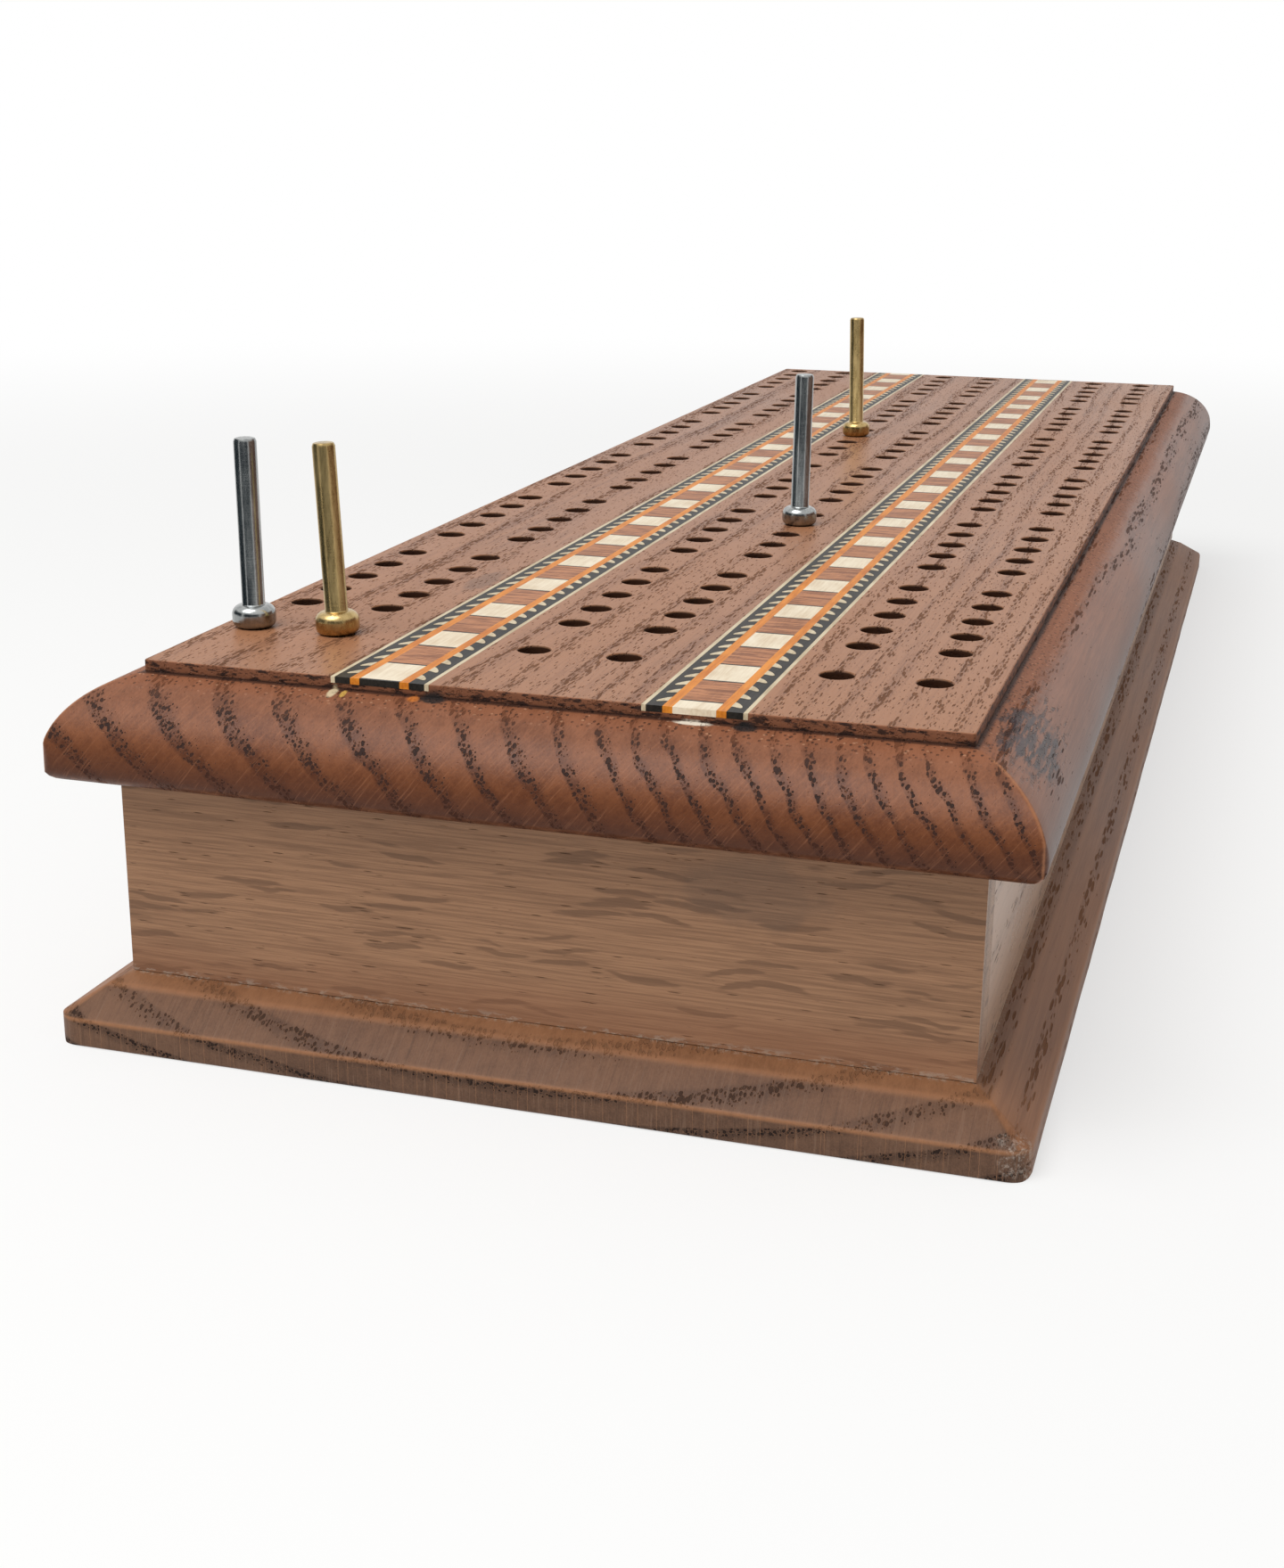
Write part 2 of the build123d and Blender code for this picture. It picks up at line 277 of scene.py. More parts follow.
class Shader(Nodes):
    """A material with a Principled surface, whose colour, roughness and height grow in layers."""

    def __init__(self, name):
        super().__init__(bpy.data.materials.new(name))
        self.surface = self.node("ShaderNodeBsdfPrincipled")
        self.show(self.surface)
        coordinates = self.node("ShaderNodeTexCoord").outputs
        in_metres = Value(self, coordinates["Object"])
        self.place = self.vector_math("MULTIPLY", in_metres, (1 / MM, 1 / MM, 1 / MM))
        self.x, self.y, self.z = self.split(self.place)
        turned = Value(self, coordinates["Normal"])
        self.normal_x, self.normal_y, self.normal_z = self.split(turned)
        self.colour = (1.0, 1.0, 1.0)
        self.roughness = 0.5
        self.height = 0.0

    def split(self, vector):
        """The three numbers of a vector."""
        made = self.node("ShaderNodeSeparateXYZ")
        self.put(made.inputs[0], vector)
        return [Value(self, output) for output in made.outputs]

    def sized(self, x, y, z):
        """The place in units of these sizes in mm."""
        return self.vector_math("MULTIPLY", self.place, (1 / x, 1 / y, 1 / z))

    def noise(self, place, detail=3.0, roughness=0.5, distortion=0.0):
        """Noise between about 0 and 1, whose grain is about one unit of place."""
        made = self.node("ShaderNodeTexNoise")
        self.put(made.inputs["Vector"], place)
        made.inputs["Scale"].default_value = 1.0
        made.inputs["Detail"].default_value = detail
        made.inputs["Roughness"].default_value = roughness
        made.inputs["Distortion"].default_value = distortion
        return Value(self, made.outputs[0])

    def cells(self, place):
        """Distance to the nearest of scattered points, about one to each unit of place."""
        made = self.node("ShaderNodeTexVoronoi")
        self.put(made.inputs["Vector"], place)
        made.inputs["Scale"].default_value = 1.0
        return Value(self, made.outputs["Distance"])

    def cells_along(self, number):
        """Distance to the nearest of points scattered along a line, about one to each unit."""
        made = self.node("ShaderNodeTexVoronoi", voronoi_dimensions="1D")
        self.put(made.inputs["W"], number)
        made.inputs["Scale"].default_value = 1.0
        return Value(self, made.outputs["Distance"])

    def blob(self, centre, size, ragged, grain):
        """1 near a centre and 0 past the size given for each axis, with a ragged edge."""
        near = self.vector_math("DIVIDE", self.vector_math("SUBTRACT", self.place, centre), size)
        wander = self.noise(self.sized(grain, grain, grain), 4.0, 0.6)
        distance = self.vector_math("LENGTH", near) + (wander - 0.5) * ragged
        return self.smooth(distance, 1.0, 0.55)

    def mix(self, share, first, second):
        """Mix of two colours."""
        made = self.node("ShaderNodeMix", data_type="RGBA")
        for index, value in zip((0, 6, 7), (share, first, second)):
            self.put(made.inputs[index], value)
        return Value(self, made.outputs[2])

    def paint(self, share, colour):
        """Lays this share of a colour over what is there."""
        self.colour = self.mix(share, self.colour, colour)

    def finish(self, relief, specular, metallic=0.0):
        """Joins the layers to the surface. One unit of height is the relief, in mm."""
        bump = self.node("ShaderNodeBump")
        bump.inputs["Strength"].default_value = 1.0
        bump.inputs["Distance"].default_value = relief * MM
        self.put(bump.inputs["Height"], self.height)
        sockets = self.surface.inputs
        self.put(sockets["Base Color"], self.colour)
        self.put(sockets["Roughness"], self.roughness)
        self.put(sockets["Normal"], Value(self, bump.outputs[0]))
        sockets["Metallic"].default_value = metallic
        sockets["Specular IOR Level"].default_value = specular
        return self.owner


# ---- oak ----


class Oak:
    """Numbers that tell one oak board from another. Sizes are in mm, colours are linear."""

    grain = "Y"  # the way the wood grew
    pith = (-132.0, -86.0)  # where the middle of the tree lay: across the grain, and up
    ring_rate = 0.0008  # rings = rate x distance squared
    narrow_from = 1000.0  # past this distance from the pith the rings are narrower
    narrow_rate = 0.0
    sway = 5.0
    ripple = 1.0
    end_light, end_dark = (0.22, 0.11, 0.06), (0.11, 0.05, 0.026)
    pore_share = 0.44  # how crowded the early wood is
    late_share = 0.14
    pore_length = 4.0
    pore_spacing = 0.40
    long_pores = 0.66  # how dark the pores are where the grain runs along the face
    end_pores = 0.92  # how dark they are on end grain
    fibre = 0.35
    streak = 0.40
    rays = 0.30
    ray_count = 430.0
    flecks = 0.0
    shift = 0.0  # moves the random figure, so that no two boards match
    roughness = 0.45
    specular = 0.3
    relief = 0.07

    def __init__(self, **numbers):
        for name, value in numbers.items():
            setattr(self, name, value)


def make_oak(name, board, marks=None):
    """Oak: growth rings round a pith, open pores drawn out along the grain, rays and fibres."""
    shader = Shader(name)
    along, across = (shader.y, shader.x) if board.grain == "Y" else (shader.x, shader.y)
    up = shader.z

    def place(across_size, along_size, up_size, offset=0.0):
        """The place in the board's own directions, in units of these sizes."""
        moved = board.shift + offset
        return shader.vector(
            across / across_size + moved,
            along / along_size + moved * 0.37,
            up / up_size + moved * 0.61,
        )

    # growth rings, warped a little along the board
    sway = shader.noise(place(30, 90, 30), 2.0) - 0.5
    ripple = shader.noise(place(4, 22, 4, 3.1), 3.0) - 0.5
    warp = sway * board.sway + ripple * board.ripple
    from_pith = across - board.pith[0] + warp
    above_pith = up - board.pith[1] + warp * 0.6
    squared = from_pith * from_pith + above_pith * above_pith
    distance = shader.math("SQRT", squared)
    narrower = shader.math("MAXIMUM", distance - board.narrow_from, 0.0)
    rings = squared * board.ring_rate + narrower * board.narrow_rate
    phase = shader.math("FRACT", rings)
    early = shader.smooth(phase, 0.52, 0.20) * shader.smooth(phase, 0.0, 0.10)
    band = shader.noise(shader.vector(shader.math("FLOOR", rings), 0.5, 0.5), 0.0)

    # pores: long thin vessels, crowded in the early wood
    crowd = shader.noise(place(0.9, 9, 0.9, 8.3), 3.0, 0.65)
    gather = shader.smooth(crowd, 0.32, 0.58) * 0.50 + 0.50
    reach = early * gather * board.pore_share + crowd * board.late_share
    gap, length = board.pore_spacing, board.pore_length
    large = shader.cells(place(gap, length, gap))
    large_pores = shader.smooth(reach - large, -0.04, 0.06)
    small = shader.cells(place(0.62 * gap, 0.6 * length, 0.62 * gap, 4.7))
    small_pores = shader.smooth(reach * 0.80 - small, -0.04, 0.12)
    pores = shader.math("MAXIMUM", large_pores, small_pores * 0.65)

    # fibres and the slow changes of tone
    fibre = shader.noise(place(0.20, 8.0, 0.20, 1.3), 3.0, 0.65)
    streak = shader.noise(place(1.1, 38.0, 1.1, 5.9), 3.0, 0.6)
    cloud = shader.noise(place(14, 50, 14, 7.7), 3.0, 0.5)

    # rays: thin sheets that stand out from the pith
    angle = shader.math("ARCTAN2", above_pith, from_pith)
    ray_place = shader.vector(angle * board.ray_count, along / 7.0, distance / 4.0)
    rays = shader.smooth(shader.noise(ray_place, 2.0, 0.7), 0.50, 0.72)

    # end grain has its own colours, and shows on faces square to the grain
    facing = shader.normal_y if board.grain == "Y" else shader.normal_x
    end = shader.smooth(abs(facing), 0.25, 0.85)

    tone = cloud * 0.35 + streak * board.streak + fibre * board.fibre + band * 0.12 - early * 0.10
    tone = shader.smooth(tone, 0.36, 0.80)
    long_colour = shader.mix(tone, board.dark, board.light)
    end_colour = shader.mix(tone, board.end_dark, board.end_light)
    shader.colour = shader.mix(end, long_colour, end_colour)
    shader.paint(rays * board.rays, shader.mix(end, board.light, board.end_light))
    shader.paint(early * end * 0.28, board.pore)

    # flecks: broad thin lenses and dark threads, on the quarter-sawn boards alone
    if board.flecks:
        thread = shader.noise(place(0.22, 12.0, 0.22, 6.4), 4.0, 0.7)
        shader.paint(shader.smooth(thread, 0.60, 0.38) * 0.62, board.dark)
        drift = shader.noise(place(9.0, 9.0, 9.0, 4.4), 2.0) * 3.0
        lens_place = shader.vector(across / 5.0 + board.shift, along / 11.0, (up + drift) / 1.05)
        wisp = shader.noise(place(0.3, 3.0, 0.3, 2.2), 3.0) - 0.5
        near = shader.cells(lens_place) + wisp * 0.30
        fleck_colour = tuple(0.80 * part for part in board.dark)
        shader.paint(shader.smooth(near, 0.34, 0.24) * board.flecks, fleck_colour)

    rims = shader.smooth(reach - large, -0.16, -0.03) * (1.0 - pores)
    shader.paint(rims * end * 0.28, board.light)
    pore_depth = board.long_pores + end * (board.end_pores - board.long_pores)
    shader.paint(pores * pore_depth, board.pore)
    shader.roughness = board.roughness + pores * 0.3 + (cloud - 0.5) * 0.18
    shader.height = fibre * 0.30 - pores
    if marks is not None:
        marks(shader)
    return shader.finish(board.relief, board.specular)


# ---- the other materials ----


def make_veneer(name, light, dark, cross):
    """Thin sawn wood let into the board: fine straight grain, with cross streaks where asked."""
    shader = Shader(name)
    grain = shader.noise(shader.sized(0.25, 4.0, 0.4), 4.0, 0.6)
    cloud = shader.noise(shader.sized(3.0, 5.0, 3.0), 3.0, 0.5)
    tone = grain * 0.55 + cloud * 0.55
    if cross:
        figure = shader.noise(shader.sized(4.0, 0.42, 1.0), 3.0, 0.65, 0.5)
        tone = tone * (1 - cross) + figure * cross
    tone = shader.smooth(tone, 0.40, 0.60) if cross else shader.smooth(tone, 0.34, 0.72)
    specks = shader.smooth(shader.cells(shader.sized(0.9, 1.6, 0.9)), 0.16, 0.06)
    shader.colour = shader.mix(tone, dark, light)
    shader.paint(specks * 0.35, dark)
    shader.roughness = 0.40
    shader.height = grain
    return shader.finish(relief=0.02, specular=0.08)


def make_metal(name, light, dark, roughness):
    """Turned metal: faint lines round the axis, and a patchy tarnish."""
    shader = Shader(name)
    lines = shader.noise(shader.sized(20.0, 20.0, 0.09), 2.0, 0.6)
    patches = shader.noise(shader.sized(0.9, 0.9, 5.0), 4.0, 0.65)
    specks = shader.smooth(shader.cells(shader.sized(0.5, 0.5, 1.1)), 0.30, 0.14)
    shader.colour = shader.mix(shader.smooth(patches, 0.30, 0.70), dark, light)
    shader.paint(specks * 0.25, dark)
    shader.roughness = roughness + (patches - 0.5) * 0.25
    shader.height = lines
    return shader.finish(relief=0.006, specular=0.5, metallic=1.0)


# ---- the boards ----

top_board_rings = dict(
    pith=(-132.0, -86.0),
    ring_rate=0.0008,
    narrow_from=184.0,
    narrow_rate=0.13,
    sway=4.0,
    ripple=1.4,
)
field_oak = Oak(
    **top_board_rings,
    light=(0.364, 0.168, 0.086),
    dark=(0.168, 0.064, 0.029),
    pore=(0.040, 0.016, 0.009),
    pore_share=0.24,
    late_share=0.44,
    pore_length=1.8,
    pore_spacing=0.29,
    long_pores=0.54,
    fibre=0.60,
    roughness=0.34,
    specular=0.07,
)
moulding_oak = Oak(
    **top_board_rings,
    light=(0.270, 0.108, 0.056),
    dark=(0.130, 0.045, 0.020),
    pore=(0.014, 0.007, 0.006),
    end_light=(0.235, 0.080, 0.030),
    end_dark=(0.105, 0.030, 0.011),
    pore_share=0.42,
    rays=0.60,
    roughness=0.40,
    specular=0.22,
)
case_oak = Oak(
    grain="X",
    pith=(-400.0, 14.0),
    ring_rate=0.0004,
    light=(0.364, 0.194, 0.104),
    dark=(0.185, 0.092, 0.048),
    pore=(0.080, 0.038, 0.020),
    pore_share=0.10,
    late_share=0.20,
    pore_length=5.0,
    fibre=0.60,
    end_light=(0.440, 0.260, 0.155),
    end_dark=(0.260, 0.140, 0.078),
    flecks=0.66,
    rays=0.0,
    shift=11.0,
    roughness=0.42,
    specular=0.30,
)
side_oak_with_painted_glare = Oak(
    grain="Y",
    pith=(-60.0, -80.0),
    # paler than the other boards: partly its own tone, partly painted glare where the side is seen
    # at a grazing angle
    light=(0.480, 0.290, 0.180),
    dark=(0.290, 0.160, 0.090),
    pore=(0.080, 0.036, 0.020),
    pore_share=0.26,
    fibre=0.55,
    shift=23.0,
    roughness=0.30,
    specular=0.5,
)
base_oak = Oak(
    grain="Y",
    pith=(-1.0, 142.0),
    ring_rate=0.0,
    narrow_from=0.0,
    narrow_rate=1 / 2.9,
    sway=1.6,
    ripple=0.5,
    light=(0.310, 0.140, 0.066),
    dark=(0.175, 0.071, 0.031),
    pore=(0.014, 0.007, 0.005),
    end_light=(0.162, 0.086, 0.052),
    end_dark=(0.078, 0.040, 0.025),
    pore_share=0.42,
    late_share=0.08,
    long_pores=0.24,
    rays=0.25,
    shift=31.0,
    roughness=0.5,
    specular=0.2,
)
drawer_colours = dict(
    light=(0.470, 0.290, 0.170),
    dark=(0.280, 0.155, 0.085),
    pore=(0.110, 0.056, 0.030),
    end_light=(0.330, 0.190, 0.105),
    end_dark=(0.180, 0.095, 0.050),
    pith=(-40.0, -90.0),
    roughness=0.55,
    specular=0.2,
)
drawer_oak_along = Oak(grain="Y", shift=47.0, **drawer_colours)
drawer_oak_across = Oak(grain="X", shift=59.0, **drawer_colours)


# ---- wear, stain, dirt, painted shade and painted highlights, in layers ----

# linear colours of the layers
# painted shade inside the peg holes
HOLE_PAINTED_SHADE = (0.030, 0.011, 0.006)
DIRT = (0.070, 0.038, 0.026)
# painted shade on the lower, downward-facing part of the moulding
RED_PAINTED_SHADE = (0.058, 0.014, 0.004)
FAIR_FIBRE = (0.380, 0.160, 0.080)
ROUGH_CUT = (0.270, 0.085, 0.030)
PITTED = (0.030, 0.011, 0.007)
CRUMB = (0.520, 0.260, 0.150)
STEP_DARK, STEP_LIGHT = (0.012, 0.005, 0.004), (0.185, 0.070, 0.034)
# painted shade at the foot of the step
FOOT_PAINTED_SHADE = (0.014, 0.005, 0.004)
# painted highlight along the top edge of the field
CREST_PAINTED_HIGHLIGHT = (0.42, 0.22, 0.13)
# pale mitre line: wear, and a painted highlight
MITRE_WEAR_AND_HIGHLIGHT = (0.40, 0.17, 0.08)
ARRIS_LIGHT = (0.30, 0.13, 0.07)
BLACK_STAIN = (0.014, 0.017, 0.025)
TORN_DARK = (0.030, 0.012, 0.008)
CASE_RED = (0.250, 0.098, 0.046)
CASE_SMUDGE = (0.090, 0.060, 0.046)
CASE_DUST = (0.46, 0.38, 0.31)
BASE_SHADE, BASE_TINT = (0.055, 0.030, 0.020), (0.270, 0.165, 0.110)
BASE_RAY = (0.330, 0.160, 0.080)
BASE_WORN = (0.330, 0.150, 0.070)
BASE_LEDGE = (0.210, 0.105, 0.050)
BASE_DUST = (0.40, 0.32, 0.25)
BRUISE = (0.50, 0.42, 0.36)

# chips where the ends of the bands were cut through: middle, reach and colour
CHIPS = (
    ((-19.2, -129.9, 35.3), (0.55, 1.1, 0.9), (0.62, 0.50, 0.32)),
    ((-18.1, -130.0, 35.3), (0.35, 0.8, 0.6), (0.60, 0.36, 0.08)),
    ((-11.4, -129.8, 35.4), (0.70, 0.7, 0.5), (0.52, 0.16, 0.03)),
    ((-9.6, -129.6, 35.4), (1.60, 0.9, 1.1), (0.014, 0.012, 0.012)),
    ((14.4, -129.6, 35.5), (2.30, 0.5, 0.35), (0.78, 0.70, 0.58)),
    ((19.0, -129.6, 35.5), (1.40, 0.8, 0.9), (0.014, 0.012, 0.012)),
)


def mark_field(shader):
    """Painted shade darkening the peg holes towards their depth, and dirt beside the row of holes at
    the left.
    """
    # painted shade: the peg holes turn dark with depth, where little light reaches
    hole_shade = shader.smooth(shader.z, board_top - 0.02, board_top - 0.20)
    shader.paint(hole_shade * 0.94, HOLE_PAINTED_SHADE)
    beside_row = (-21.5, -86.0, board_top)
    smudge = shader.blob(beside_row, size=(1.8, 7.0, 2.0), ragged=1.2, grain=2.0)
    shader.paint(smudge * 0.45, DIRT)


def shade_underside_and_fibres(shader):
    """Painted shade, darker and redder low on the moulding where it faces down, and fair slanting
    fibres on its ends.
    """
    # painted shade: the lower part of the moulding, which faces down, is darkened and reddened
    low = shader.smooth(shader.z, top_low.z + 6.5, top_low.z + 0.8)
    shader.paint(low * 0.78, RED_PAINTED_SHADE)
    slant = 0.8
    hair_place = shader.vector(
        (shader.x - shader.z * slant) / 0.22,
        shader.y / 2.0,
        (shader.z + shader.x * slant) / 6.0,
    )
    hairs = shader.smooth(shader.noise(hair_place, 3.0, 0.7), 0.54, 0.70)
    ends = shader.smooth(abs(shader.normal_y), 0.15, 0.60)
    shader.paint(hairs * ends * 0.25, FAIR_FIBRE)


def tear_step(shader, outside, torn):
    """The rough cut round the field, its pits and crumbs, the step's face, painted shade at its foot
    and a painted highlight along its rounded top edge.
    """
    shoulder = board_top - FIELD_STEP
    rough_cut = shader.smooth(outside + torn * 2.4, 4.6, 2.6)
    shader.paint(rough_cut * 0.34, ROUGH_CUT)
    pits = rough_cut * shader.smooth(shader.cells(shader.sized(0.50, 0.60, 0.40)), 0.30, 0.18)
    shader.paint(pits * 0.70, PITTED)
    crumbs = rough_cut * shader.smooth(shader.cells(shader.sized(0.9, 0.8, 0.7)), 0.24, 0.12)
    shader.paint(crumbs * 0.55, CRUMB)
    shader.height = shader.height - pits * 1.2 + crumbs
    shader.roughness += rough_cut * 0.2
    above = shader.smooth(shader.z, shoulder - 0.02, shoulder + 0.08)
    face = above * shader.smooth(shader.normal_z, 0.75, 0.45)
    face_colour = shader.mix(shader.smooth(torn, 0.41, 0.51), STEP_DARK, STEP_LIGHT)
    shader.paint(face * 0.90, face_colour)
    # painted shade: a dark line at the foot of the step, next to the field's edge
    foot_shade = shader.smooth(shader.z, shoulder + 0.30, shoulder + 0.05)
    shader.paint(shader.smooth(outside, 0.55, 0.15) * foot_shade * 0.80, FOOT_PAINTED_SHADE)
    # painted highlight on the upward-facing rounded top edge of the field
    crest_highlight = above * shader.smooth(shader.normal_z, 0.60, 0.85)
    shader.paint(crest_highlight * 0.40, CREST_PAINTED_HIGHLIGHT)


def wear_and_highlight_edges(shader, outside, torn):
    """Pale lines down the mitres, partly worn and partly a painted highlight, and a pale worn line
    along the lowest arris.
    """
    # the mitre line is part wear, part painted highlight where the corner ridge catches the light
    mitre = (abs(shader.x) - top_high.x) - (abs(shader.y) - top_high.y)
    mitre = shader.smooth(abs(mitre) + torn * 0.5, 0.62, 0.22)
    shader.paint(mitre * shader.smooth(outside, 1.0, 2.0) * 0.70, MITRE_WEAR_AND_HIGHLIGHT)
    arris = shader.smooth(shader.z, top_low.z + 1.1, top_low.z + 0.5)
    shader.paint(arris * shader.smooth(torn, 0.46, 0.62) * 0.30, ARRIS_LIGHT)


def stain_corner(shader):
    """Black stain and torn fibres on the moulding, by the near right corner."""
    streaks = shader.noise(shader.sized(0.5, 6.0, 0.5), 3.0, 0.7)
    stain_middle, torn_middle = (42.6, -120.5, 34.5), (42.0, -119.0, 34.0)
    stain = shader.blob(stain_middle, size=(4.2, 10.0, 4.0), ragged=1.5, grain=3.0)
    shader.paint(stain * shader.smooth(streaks, 0.40, 0.54) * 0.82, BLACK_STAIN)
    fibres = shader.noise(shader.sized(0.40, 2.6, 0.40), 3.0, 0.6)
    torn_area = shader.blob(torn_middle, size=(5.0, 15.0, 5.0), ragged=1.2, grain=3.0)
    tears = shader.smooth(fibres, 0.53, 0.60) * torn_area
    shader.paint(tears * 0.75, TORN_DARK)
    shader.height -= tears * 1.4


def mark_moulding(shader):
    """Stain, painted shade, wear, painted highlights and damage of the moulding, and the chips at
    the ends of the bands.
    """
    past_side = abs(shader.x) - field_half_width
    past_end = abs(shader.y) - field_half_length
    outside = shader.math("MAXIMUM", past_side, past_end)
    torn = shader.noise(shader.sized(1.5, 1.5, 0.5), 4.0, 0.7)
    shade_underside_and_fibres(shader)
    tear_step(shader, outside, torn)
    wear_and_highlight_edges(shader, outside, torn)
    stain_corner(shader)
    for centre, size, chip_colour in CHIPS:
        chip = shader.blob(centre, size, ragged=0.5, grain=0.5)
        shader.paint(chip * 0.92, chip_colour)


def mark_case(shader):
    """Darker and redder low down, with a smudge near the top and dust along the lower joint."""
    wander = shader.noise(shader.sized(30.0, 30.0, 6.0), 3.0, 0.6)
    low = shader.smooth(shader.z + wander * 6.0, end_low.z + 9.0, end_low.z + 2.5)
    shader.paint(low * 0.42, CASE_RED)
    below_top = (20.0, end_low.y, end_high.z - 5.0)
    smudge = shader.blob(below_top, size=(9.0, 3.0, 4.0), ragged=1.0, grain=3.0)
    shader.paint(smudge * 0.30, CASE_SMUDGE)
    dust = shader.noise(shader.sized(1.2, 1.2, 0.5), 4.0, 0.7)
    joint = shader.smooth(shader.z, end_low.z + 0.8, end_low.z + 0.1)
    joint *= shader.smooth(dust, 0.50, 0.62)
    shader.paint(joint * 0.45, CASE_DUST)
    shader.roughness += joint * 0.3


def mark_base(shader):
    """Rays and saw marks on the ends, a darker bevel with worn edges, a bruised corner and dust."""
    scuff = shader.noise(shader.sized(0.45, 0.45, 0.45), 5.0, 0.75)
    square = abs(shader.normal_y)
    ledge = base_high.z - LEDGE_FALL
    ray = shader.smooth(shader.cells_along((shader.x + scuff * 0.25) / 1.6), 0.024, 0.006)
    ray *= shader.smooth(shader.z, BASE_EDGE_HEIGHT + 0.4, BASE_EDGE_HEIGHT - 0.3)
    ray *= shader.smooth(square, 0.6, 0.9)
    shader.paint(ray * 0.50, BASE_RAY)
    ends = shader.smooth(square, 0.25, 0.60)
    saw_marks = shader.noise(shader.sized(0.24, 30.0, 5.0), 3.0, 0.7)
    shader.paint(shader.smooth(saw_marks, 0.46, 0.30) * (ends * 0.35), BASE_SHADE)
    shader.paint(shader.smooth(saw_marks, 0.54, 0.70) * (ends * 0.30), BASE_TINT)
    bevel = shader.smooth(shader.z, BASE_EDGE_HEIGHT, BASE_EDGE_HEIGHT + 0.4)
    bevel *= shader.smooth(shader.z, ledge + 0.1, ledge - 0.3)
    shader.paint(ends * bevel * 0.24, BASE_SHADE)
    for level, strength in ((ledge, 0.60), (BASE_EDGE_HEIGHT, 0.75)):
        line = shader.smooth(shader.z, level - 0.40, level - 0.05)
        line *= shader.smooth(shader.z, level + 0.22, level + 0.02)
        shader.paint(line * (0.4 + scuff * 1.1) * strength, BASE_WORN)
    shader.paint(shader.smooth(shader.z, ledge + 0.02, ledge + 0.15) * 0.25, BASE_LEDGE)
    near_right = (base_high.x - 0.6, base_low.y + 0.6, 2.2)
    corner = shader.blob(near_right, size=(2.8, 2.6, 3.4), ragged=1.3, grain=1.4)
    bruise = corner * shader.smooth(scuff, 0.46, 0.64)
    shader.paint(bruise * 0.55, BRUISE)
    shader.height += corner * scuff * 0.8
    shader.roughness += bruise * 0.25
    dust = shader.smooth(shader.z, base_high.z - 0.30, base_high.z - 0.05)
    dust *= shader.smooth(scuff, 0.48, 0.62)
    shader.paint(dust * 0.65, BASE_DUST)


boards = {
    "oak_field": (field_oak, mark_field),
    "oak_moulding": (moulding_oak, mark_moulding),
    "oak_case": (case_oak, mark_case),
    "oak_side": (side_oak_with_painted_glare, None),
    "oak_base": (base_oak, mark_base),
    "oak_drawer_along": (drawer_oak_along, None),
    "oak_drawer_across": (drawer_oak_across, None),
}
veneers = {  # light, dark, and how much of the figure runs across
    "cream": ((0.70, 0.60, 0.42), (0.46, 0.36, 0.22), 0.0),
    "ivory": ((0.86, 0.76, 0.59), (0.68, 0.54, 0.37), 0.0),
    "brown": ((0.48, 0.200, 0.088), (0.21, 0.074, 0.030), 0.8),
    "orange": ((0.76, 0.27, 0.030), (0.50, 0.140, 0.014), 0.0),
    "black": ((0.028, 0.024, 0.020), (0.010, 0.009, 0.008), 0.0),
}
metals = {  # light, dark and roughness
    "steel": ((0.42, 0.43, 0.42), (0.26, 0.27, 0.27), 0.22),
    "brass": ((0.58, 0.42, 0.19), (0.36, 0.25, 0.10), 0.28),
}
materials = {}
for maker, family in ((make_oak, boards), (make_veneer, veneers), (make_metal, metals)):
    for material_name, settings in family.items():
        materials[material_name] = maker(material_name, *settings)

# ---- meshes ----


def add_piece(name, mesh, material, body, replaced=()):
    """Adds a mesh as a piece that rides on a body and stands for these CAD nodes."""
    mesh.materials.clear()
    mesh.materials.append(materials[material])
    piece = bpy.data.objects.new(name, mesh)
    bpy.context.scene.collection.objects.link(piece)
    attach(piece, body)
    if replaced:
        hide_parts(*replaced)


SHARP_ANGLE = 35.0  # edges that turn by more degrees than this aren't shaded smooth
PEG_SHARP_ANGLE = 40.0


def to_mesh(name, shape, sharp_angle=SHARP_ANGLE):
    """Turns a bmesh in mm into a smooth mesh in metres, with its sharp edges kept."""
    bmesh.ops.scale(shape, vec=(MM, MM, MM), verts=shape.verts)
    mesh = bpy.data.meshes.new(name)
    shape.to_mesh(mesh)
    shape.free()
    mesh.shade_smooth()
    mesh.set_sharp_from_angle(angle=radians(sharp_angle))
    return mesh


def lathe(shape, profile, centre, axis=(0, 0, 1), steps=48):
    """Turns a profile of (radius, height) about an axis through a centre, closed at both ends."""
    axis = Vector(axis).normalized()
    across = axis.orthogonal().normalized()
    other = axis.cross(across)
    rings = []
    for radius, height in profile:
        foot = Vector(centre) + axis * height
        if radius == 0:
            rings.append([shape.verts.new(foot)])
            continue
        turns = [2 * pi * step / steps for step in range(steps)]
        ring = [foot + radius * (cos(turn) * across + sin(turn) * other) for turn in turns]
        rings.append([shape.verts.new(point) for point in ring])
    for low, high in zip(rings, rings[1:]):
        for step in range(steps):
            after = (step + 1) % steps
            corners = [(low, step), (low, after), (high, after), (high, step)]
            face = list(dict.fromkeys(ring[index % len(ring)] for ring, index in corners))
            if len(face) > 2:
                shape.faces.new(face)


def arc(centre, radius, start, end, steps):
    """Points of (x, y) on an arc, its angles in degrees."""
    turns = [radians(start + (end - start) * step / steps) for step in range(steps + 1)]
    return [(centre[0] + radius * cos(turn), centre[1] + radius * sin(turn)) for turn in turns]


